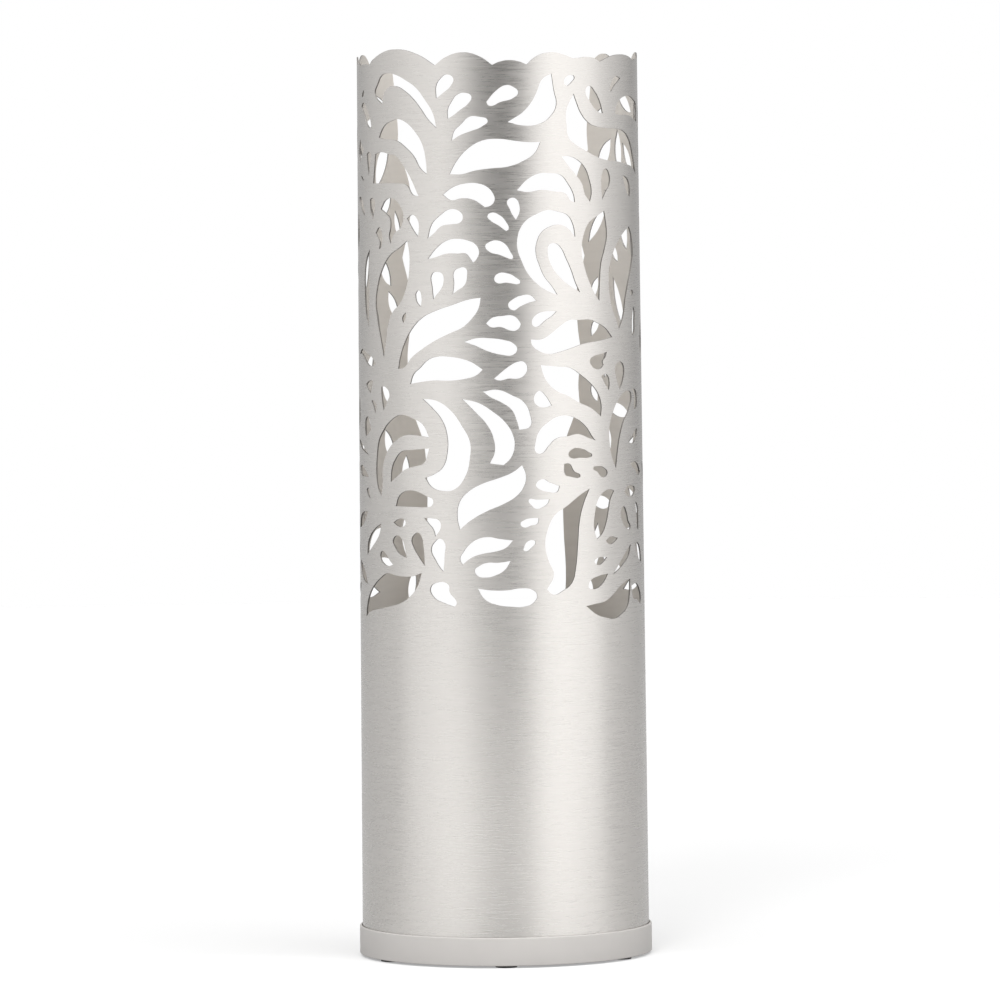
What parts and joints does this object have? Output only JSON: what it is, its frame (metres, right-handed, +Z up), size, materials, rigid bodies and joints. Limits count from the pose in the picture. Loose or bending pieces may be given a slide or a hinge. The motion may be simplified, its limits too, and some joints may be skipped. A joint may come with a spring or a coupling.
{
  "type": "umbrella stand",
  "caption": "Tall round umbrella stand: a leaf-pattern pierced steel sleeve, open at the back, on a plastic base ring, with ballast and a lift-out drip tray inside.",
  "frame": {"origin": "on the floor, under the middle of the stand", "axes": "+Z up, the front of the pierced sleeve faces -Y, the open back faces +Y"},
  "size_m": [0.1616, 0.1616, 0.5],
  "materials": {
    "sleeve_steel": "satin stainless steel sheet, finely brushed round the stand, with laser-cut edges",
    "ring_plastic": "light grey moulded plastic, fine satin grain",
    "plated_steel": "bright zinc-plated mild steel",
    "ballast_iron": "grey iron casting with a thin black coating",
    "pad_rubber": "black rubber",
    "tray_plastic": "charcoal moulded plastic"
  },
  "bodies": {
    "stand": {"sleeve": "sleeve_steel", "base_ring": "ring_plastic", "bottom_pan": "plated_steel", "ballast_plate": "ballast_iron", "pan_stud_1": "plated_steel", "pan_stud_2": "plated_steel", "pan_stud_3": "plated_steel", "stud_washer_1": "plated_steel", "stud_washer_2": "plated_steel", "stud_washer_3": "plated_steel", "stud_nut_1": "plated_steel", "stud_nut_2": "plated_steel", "stud_nut_3": "plated_steel", "ring_screw_1": "plated_steel", "ring_screw_2": "plated_steel", "ring_screw_3": "plated_steel", "ring_screw_4": "plated_steel", "rubber_pad_1": "pad_rubber", "rubber_pad_2": "pad_rubber", "rubber_pad_3": "pad_rubber", "rubber_pad_4": "pad_rubber", "rubber_pad_5": "pad_rubber", "rubber_pad_6": "pad_rubber"},
    "tray": {"drip_tray": "tray_plastic"}
  },
  "joints": [
    {"name": "tray_lift", "type": "slide", "parent": "stand", "child": "tray", "axis": [0, 0, 1], "range_m": [0, 0.52]}
  ]
}
